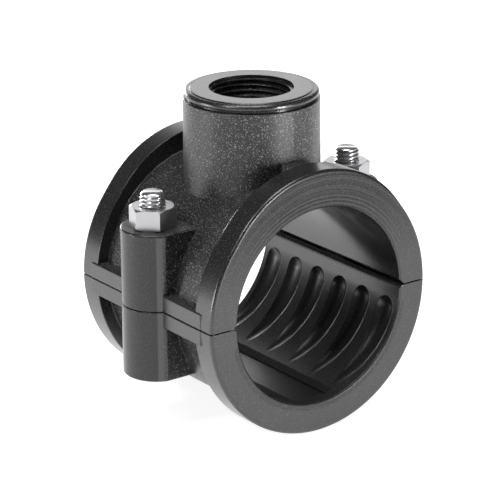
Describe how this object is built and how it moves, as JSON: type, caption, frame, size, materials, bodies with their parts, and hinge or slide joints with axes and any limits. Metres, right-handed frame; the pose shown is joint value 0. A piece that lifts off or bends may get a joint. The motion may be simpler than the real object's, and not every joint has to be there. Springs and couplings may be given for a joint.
{
  "type": "pipe saddle",
  "caption": "Clamp-on pipe saddle: two moulded plastic halves bolt round a pipe, and the upper half carries a boss with a female-threaded branch and a seal below it.",
  "frame": {"origin": "where the axis of the clamped pipe crosses the axis of the branch, in the plane in which the halves part", "axes": "+X along the pipe, +Z along the branch towards its open end, +Y across the pipe towards the rear bolt"},
  "size_m": [0.07, 0.0952, 0.1033],
  "materials": {
    "body_plastic": "matte",
    "zinc_steel": "bright zinc",
    "seal_rubber": "matte"
  },
  "bodies": {
    "lower_clamp": {"lower_half": "body_plastic", "front_bolt": "zinc_steel", "rear_bolt": "zinc_steel"},
    "upper_clamp": {"upper_half": "body_plastic", "branch_seal": "seal_rubber"},
    "front_nut": {"front_nut": "zinc_steel"},
    "rear_nut": {"rear_nut": "zinc_steel"}
  },
  "joints": [
    {"name": "clamp_lift", "type": "slide", "parent": "lower_clamp", "child": "upper_clamp", "axis": [0, 0, 1], "range_m": [0, 0.0044]},
    {"name": "front_nut_turn", "type": "hinge", "parent": "upper_clamp", "child": "front_nut", "pos_m": [0, -0.0376, 0.0245], "axis": [0, 0, 1], "range_deg": [0, 1267.5]},
    {"name": "rear_nut_turn", "type": "hinge", "parent": "upper_clamp", "child": "rear_nut", "pos_m": [0, 0.0376, 0.0245], "axis": [0, 0, 1], "range_deg": [0, 1267.5]}
  ],
  "couplings": [
    {"joint": "front_nut_turn", "follows": "clamp_lift", "rad_per_m": 5026.5},
    {"joint": "rear_nut_turn", "follows": "clamp_lift", "rad_per_m": 5026.5}
  ]
}
